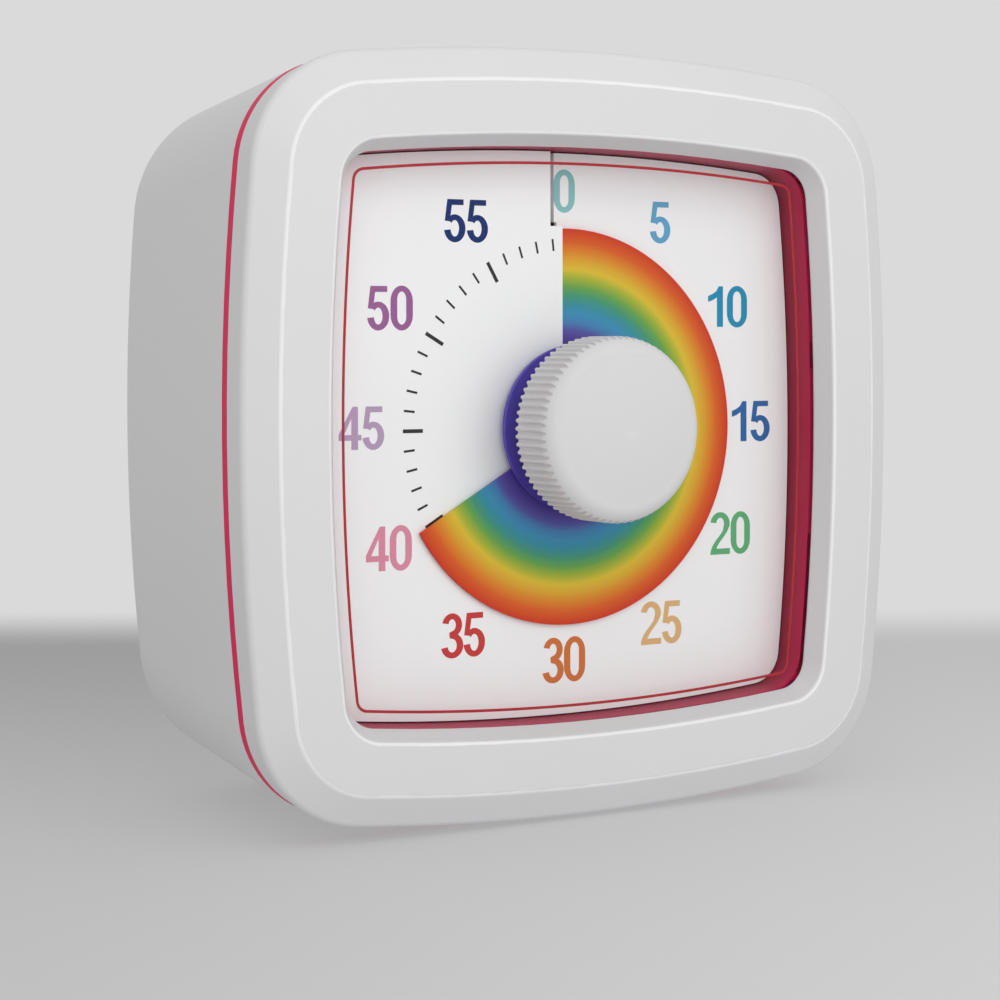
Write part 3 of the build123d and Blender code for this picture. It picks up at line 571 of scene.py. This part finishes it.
def stadium(x, y, across, up, straight):
    """A tall oval with short straight sides."""
    top = oval(x, y + straight, across, up - straight, 0, 180)
    return top + oval(x, y - straight, across, up - straight, 180, 360)


def digit_zero():
    middle = WIDE / 2
    outer = stadium(middle, 0.5, middle, 0.515, 0.16)
    inner = stadium(middle, 0.5, middle - STEM, 0.515 - BAR, 0.20)
    return [outer, inner]


def digit_one():
    right = 0.425
    left = right - STEM
    return [
        [
            (left, 0.0),
            (right, 0.0),
            (right, 1.0),
            (right - 0.12, 1.0),
            (0.235, 0.88),
            (0.13, 0.81),
            (0.0, 0.76),
            (0.0, 0.615),
            (0.13, 0.655),
            (left, 0.73),
        ]
    ]


def digit_two():
    middle = WIDE / 2
    hook = oval(middle, 0.735, middle - 0.005, 0.28, 172, -14, 20)
    diagonal = [(0.50, 0.545), (0.38, 0.40), (0.27, 0.285), (0.20, 0.185), (0.185, 0.14)]
    base = [(WIDE, 0.14), (WIDE, 0.0), (0.0, 0.0), (0.015, 0.10), (0.07, 0.22), (0.16, 0.335)]
    back = [(0.28, 0.455), (0.365, 0.56), (0.39, 0.64)]
    inner = oval(middle, 0.735, middle - STEM, 0.28 - BAR, -14, 172, 16)
    return [hook + diagonal + base + back + inner]


def digit_three():
    middle = WIDE / 2 - 0.01
    top = oval(middle, 0.745, middle - 0.02, 0.27, 168, -52, 18)
    bowl = oval(middle, 0.275, middle + 0.01, 0.29, 58, -170, 22)
    bowl_in = oval(middle, 0.275, middle + 0.01 - STEM, 0.29 - BAR, -170, 74, 18)
    notch = [(0.215, 0.45), (0.205, 0.575)]
    top_in = oval(middle, 0.745, middle - 0.02 - STEM * 0.95, 0.27 - BAR, -78, 168, 16)
    return [top + bowl + bowl_in + notch + top_in]


def digit_four():
    right = 0.50
    outer = [
        (right - STEM, 0.0),
        (right, 0.0),
        (right, 0.215),
        (0.59, 0.215),
        (0.59, 0.345),
        (right, 0.345),
        (right, 1.0),
        (right - 0.14, 1.0),
        (0.0, 0.36),
        (0.0, 0.215),
        (right - STEM, 0.215),
    ]
    inner = [(right - STEM, 0.345), (right - STEM, 0.73), (0.135, 0.345)]
    return [outer, inner]


def digit_five():
    middle = WIDE / 2 - 0.005
    bowl = oval(middle, 0.315, middle, 0.33, 118, -172, 26)
    inner = oval(middle, 0.315, middle - STEM, 0.33 - BAR, -172, 140, 22)
    return [
        [(0.52, 1.0), (0.52, 0.865), (0.21, 0.865), (0.175, 0.63)]
        + bowl
        + inner
        + [(0.155, 0.475), (0.02, 0.49), (0.09, 1.0)]
    ]


# how each digit is drawn, and the width it takes up
DIGITS = {
    "0": (digit_zero, WIDE),
    "1": (digit_one, 0.515),
    "2": (digit_two, WIDE),
    "3": (digit_three, 0.55),
    "4": (digit_four, 0.59),
    "5": (digit_five, WIDE),
}

# each number's centre, its width and height in millimetres, and its ink
NUMBERS = {
    0: ((0.15, 26.85), (2.85, 4.76), (138, 196, 196)),
    5: ((13.37, 23.62), (2.95, 4.76), (97, 166, 205)),
    10: ((23.06, 13.87), (5.72, 4.80), (24, 144, 184)),
    15: ((26.51, 0.20), (5.70, 4.80), (40, 101, 167)),
    20: ((23.39, -13.16), (5.88, 4.98), (95, 177, 120)),
    25: ((13.31, -23.28), (5.90, 5.00), (224, 180, 122)),
    30: ((-0.37, -26.70), (5.80, 5.10), (210, 116, 54)),
    35: ((-13.77, -22.96), (5.70, 4.92), (202, 58, 55)),
    40: ((-23.21, -12.79), (5.72, 4.90), (223, 142, 165)),
    45: ((-26.53, 0.46), (5.60, 4.66), (184, 157, 190)),
    50: ((-23.01, 13.46), (5.64, 4.75), (156, 94, 151)),
    55: ((-13.44, 23.12), (5.64, 4.66), (1, 42, 108)),
}


def digit_mesh(contours):
    """A flat solid from closed contours; a contour inside another makes a hole."""
    curve = bpy.data.curves.new("digit", "CURVE")
    curve.dimensions = "2D"
    curve.fill_mode = "BOTH"
    curve.extrude = 0.5
    for contour in contours:
        line = curve.splines.new("POLY")
        line.points.add(len(contour) - 1)
        line.use_cyclic_u = True
        for point, (x, y) in zip(line.points, contour):
            point.co = (x, y, 0.0, 1.0)
    holder = bpy.data.objects.new("digit", curve)
    bpy.context.scene.collection.objects.link(holder)
    seen = holder.evaluated_get(bpy.context.evaluated_depsgraph_get())
    mesh = bpy.data.meshes.new_from_object(seen)
    bpy.data.objects.remove(holder)
    bpy.data.curves.remove(curve)
    return mesh


def dial_height(x, y, near_angle):
    """Height of the dial's sheet at a point whose angle lies near near_angle, in degrees."""
    angle = math.degrees(math.atan2(x, y))
    angle = near_angle + (angle - near_angle + 180) % 360 - 180
    return PITCH * (angle / 360 - 0.5) + SHEET_TOP


def dial_numbers(material):
    """The numbers 0 to 55, each in its own colour, lying on the sheet."""
    shapes = {key: digit_mesh(draw()) for key, (draw, width) in DIGITS.items()}
    mesh = bmesh.new()
    ink = mesh.verts.layers.float_color.new("ink")
    for minute, (centre, size, colour) in NUMBERS.items():
        text = str(minute)
        natural = sum(DIGITS[key][1] for key in text) + DIGIT_GAP * (len(text) - 1)
        stretch = size[0] / natural
        cursor = centre[0] - size[0] / 2
        for key in text:
            start = len(mesh.verts)
            mesh.from_mesh(shapes[key])
            mesh.verts.ensure_lookup_table()
            for vert in mesh.verts[start:]:
                x = cursor + vert.co.x * stretch
                y = centre[1] + (vert.co.y - 0.5) * size[1]
                height = dial_height(x, y, minute * 6.0) + (vert.co.z + 0.5) * INK
                vert.co = stand(x, y, height)
                vert[ink] = srgb(*colour)
            cursor += (DIGITS[key][1] + DIGIT_GAP) * stretch
    bmesh.ops.remove_doubles(mesh, verts=mesh.verts, dist=1e-7)
    for shape in shapes.values():
        bpy.data.meshes.remove(shape)
    return piece_from(mesh, "dial_numbers", material)


# ---- what repeats, by geometry nodes ---------------------------------------------------------


class Pattern:
    """A geometry node group with named sizes, made plain mesh at the end."""

    def __init__(self, name, sizes):
        self.name = name
        self.sizes = sizes
        self.tree = bpy.data.node_groups.new(name, "GeometryNodeTree")
        self.sheet = Sheet(self.tree)
        new_socket = self.tree.interface.new_socket
        new_socket("Geometry", in_out="OUTPUT", socket_type="NodeSocketGeometry")
        self.entry = self.tree.nodes.new("NodeGroupInput")
        self.keys = {}
        for title in sizes:
            socket = new_socket(title, in_out="INPUT", socket_type="NodeSocketFloat")
            self.keys[title] = socket.identifier

    def size(self, title):
        """The input of that name."""
        return Signal(self.sheet, self.entry.outputs[title])

    def build(self, instances, material):
        """Realizes the instances, gives them their finish and returns a plain object."""
        add = self.sheet.add
        plain = add("GeometryNodeRealizeInstances", None, {0: instances})
        done = add("GeometryNodeSetMaterial", None, {"Geometry": plain, "Material": material})
        add("NodeGroupOutput", None, {0: done})
        holder = bpy.data.objects.new(self.name + "_source", bpy.data.meshes.new("empty"))
        bpy.context.scene.collection.objects.link(holder)
        modifier = holder.modifiers.new("pattern", "NODES")
        modifier.node_group = self.tree
        for title, value in self.sizes.items():
            modifier[self.keys[title]] = float(value)
        seen = holder.evaluated_get(bpy.context.evaluated_depsgraph_get())
        mesh = bpy.data.meshes.new_from_object(seen)
        mesh.name = self.name
        bpy.data.objects.remove(holder)
        thing = bpy.data.objects.new(self.name, mesh)
        bpy.context.scene.collection.objects.link(thing)
        return thing


def minute_marks(material):
    """Sixty marks on the helical sheet; every fifth is longer and broader."""
    sizes = {
        "Outer radius": 21.45 * MM,
        "Minute length": 1.35 * MM,
        "Fifth length": 2.5 * MM,
        "Minute width": 0.25 * MM,
        "Fifth width": 0.42 * MM,
        "Thickness": INK * MM,
        "Pitch": PITCH * MM,
        "Sheet top": SHEET_TOP * MM,
        "Axis Y": AXIS_Y * MM,
        "Axis Z": AXIS_Z * MM,
        "Count": 60,
    }
    marks = Pattern("minute_marks", sizes)
    add = marks.sheet.add
    size = marks.size
    number = add("GeometryNodeInputIndex")
    share = number / size("Count")
    angle = share * (2 * math.pi)
    fifth = number % 5.0 < 0.5
    length = size("Minute length") + fifth * (size("Fifth length") - size("Minute length"))
    width = size("Minute width") + fifth * (size("Fifth width") - size("Minute width"))
    radius = size("Outer radius") - length * 0.5
    x = angle.sine() * radius
    z = angle.cosine() * radius + size("Axis Z")
    rise = size("Pitch") * (share - 0.5) + size("Sheet top") + size("Thickness") * 0.5
    place = add("ShaderNodeCombineXYZ", None, {0: x, 1: size("Axis Y") - rise, 2: z})
    points = add("GeometryNodePoints", None, {"Count": 60, "Position": place})
    turn = add("ShaderNodeCombineXYZ", None, {1: angle})
    scale = add("ShaderNodeCombineXYZ", None, {0: width, 1: size("Thickness"), 2: length})
    block = add("GeometryNodeMeshCube", None, {"Size": (1.0, 1.0, 1.0)})
    inputs = {"Points": points, "Instance": block, "Rotation": turn, "Scale": scale}
    return marks.build(add("GeometryNodeInstanceOnPoints", None, inputs), material)


# ---- stage ----------------------------------------------------------------------------------

FORWARD = Vector((0.5132, 0.8558, 0.0)).normalized()  # the camera's line of sight, seen from above
ASIDE = Vector((FORWARD.y, -FORWARD.x, 0.0))
FLOOR_REACH = 1600.0  # how far the floor goes before the dial and to either side
FLOOR_END = 213.0  # where the floor stops behind the dial
FLOOR_FADE = 65.0  # the stretch over which it fades there
FLOOR_GLOW = 0.5  # share of the floor's light that no shadow takes away
FLOOR_LIGHT = 1.08  # strength of that light

WORLD_LIGHT = 0.64
BACKDROP = (218, 218, 219)

KEY_PLACE = (-25.0, 90.0, 205.0)  # in the dial's frame, as the camera's place
KEY_SIDE_M = 0.28
KEY_WATTS = 0.254

CAMERA_PLACE = (-145.418, 9.424, 227.915)
CAMERA_TURN = (86.2436, 0.1837, -30.9640)  # degrees
CAMERA_LENS = 85.08
SENSOR_WIDTH = 36.0


def floor_surface():
    """Pale matt floor with painted shade, darker behind and to the left, that fades into the
    backdrop; part of its light is its own glow, which no shadow takes away.
    """
    material = bpy.data.materials.new("floor")
    material.use_nodes = True
    tree = material.node_tree
    tree.nodes.clear()
    sheet = Sheet(tree)
    x, y, z = sheet.split(sheet.place())
    y = y - AXIS_Y * MM
    behind = (x * FORWARD.x + y * FORWARD.y) / MM  # past the dial, as the camera looks
    aside = (x * ASIDE.x + y * ASIDE.y) / MM
    right = sheet.ramp(aside, -70.0, 70.0)
    # painted shade: the floor's colour falls off behind and to the left
    front = sheet.mix(right, srgb(196, 196, 197), srgb(210, 210, 211))
    back = sheet.mix(right, srgb(168, 168, 169), srgb(200, 200, 201))
    colour = sheet.mix(sheet.ramp(behind, -50.0, 160.0), front, back)
    matt = sheet.add("ShaderNodeBsdfDiffuse", None, {"Color": colour})
    glow = sheet.add("ShaderNodeEmission", None, {"Color": colour, "Strength": FLOOR_LIGHT})
    solid = sheet.add("ShaderNodeMixShader", None, {0: FLOOR_GLOW, 1: matt, 2: glow})
    clear = sheet.add("ShaderNodeBsdfTransparent")
    fade = sheet.ramp(behind, FLOOR_END - FLOOR_FADE, FLOOR_END)
    both = sheet.add("ShaderNodeMixShader", None, {0: fade, 1: solid, 2: clear})
    sheet.add("ShaderNodeOutputMaterial", None, {"Surface": both})
    return material


def make_floor():
    """A wide floor that ends behind the timer."""
    centre = Vector((0.0, AXIS_Y * MM, 0.0))
    mesh = bmesh.new()
    corners = []
    for along, across in ((-1, -1), (-1, 1), (1, 1), (1, -1)):
        forward = FORWARD * (FLOOR_END if along > 0 else -FLOOR_REACH)
        aside = ASIDE * (FLOOR_REACH * across)
        corners.append(mesh.verts.new(centre + (forward + aside) * MM))
    mesh.faces.new(corners)
    floor = piece_from(mesh, "floor", floor_surface())
    if floor.data.polygons[0].normal.z < 0:
        floor.data.flip_normals()


def make_world():
    """Even light from all round; what the eye, glass and gloss see is the pale backdrop."""
    world = bpy.data.worlds.new("studio")
    world.use_nodes = True
    tree = world.node_tree
    tree.nodes.clear()
    sheet = Sheet(tree)
    add = sheet.add
    seen = add("ShaderNodeLightPath", output="Is Camera Ray")
    for ray in ("Is Glossy Ray", "Is Transmission Ray"):
        seen = seen.larger(add("ShaderNodeLightPath", output=ray))
    white = (1.0, 1.0, 1.0, 1.0)
    light = add("ShaderNodeBackground", None, {"Color": white, "Strength": WORLD_LIGHT})
    wall_shaded = add("ShaderNodeBackground", None, {"Color": srgb(*BACKDROP), "Strength": 1.0})
    both = add("ShaderNodeMixShader", None, {0: seen, 1: light, 2: wall_shaded})
    add("ShaderNodeOutputWorld", None, {"Surface": both})
    bpy.context.scene.world = world


def make_key_lamp():
    """A square soft box in front and above, turned to the dial's middle."""
    data = bpy.data.lights.new("key", "AREA")
    data.shape = "SQUARE"
    data.size = KEY_SIDE_M
    data.energy = KEY_WATTS
    lamp = bpy.data.objects.new("key", data)
    lamp.location = stand(*KEY_PLACE)
    towards = stand(0.0, 0.0, 0.0) - lamp.location
    lamp.rotation_euler = towards.to_track_quat("-Z", "Y").to_euler()
    bpy.context.scene.collection.objects.link(lamp)


def make_camera():
    """A short telephoto a little above the timer's middle, to its left."""
    data = bpy.data.cameras.new("camera")
    data.lens = CAMERA_LENS
    data.sensor_width = SENSOR_WIDTH
    data.clip_start = 0.01
    camera = bpy.data.objects.new("camera", data)
    camera.location = stand(*CAMERA_PLACE)
    camera.rotation_euler = [math.radians(angle) for angle in CAMERA_TURN]
    bpy.context.scene.collection.objects.link(camera)
    bpy.context.scene.camera = camera


# ---- the whole timer --------------------------------------------------------------------------

dress_nodes(make_finishes())

for piece, slot in (
    (dial_numbers(finish("printed_ink", printed_ink)), "dial_print"),
    (minute_marks(finish("mark_ink", moulded(srgb(22, 22, 24), 0.42))), "dial_print"),
    (lens_line(finish("line_ink", line_ink)), "clear_lens"),
):
    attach(piece, "case")

make_floor()
make_world()
make_key_lamp()
make_camera()
bpy.context.scene.view_settings.view_transform = "Standard"
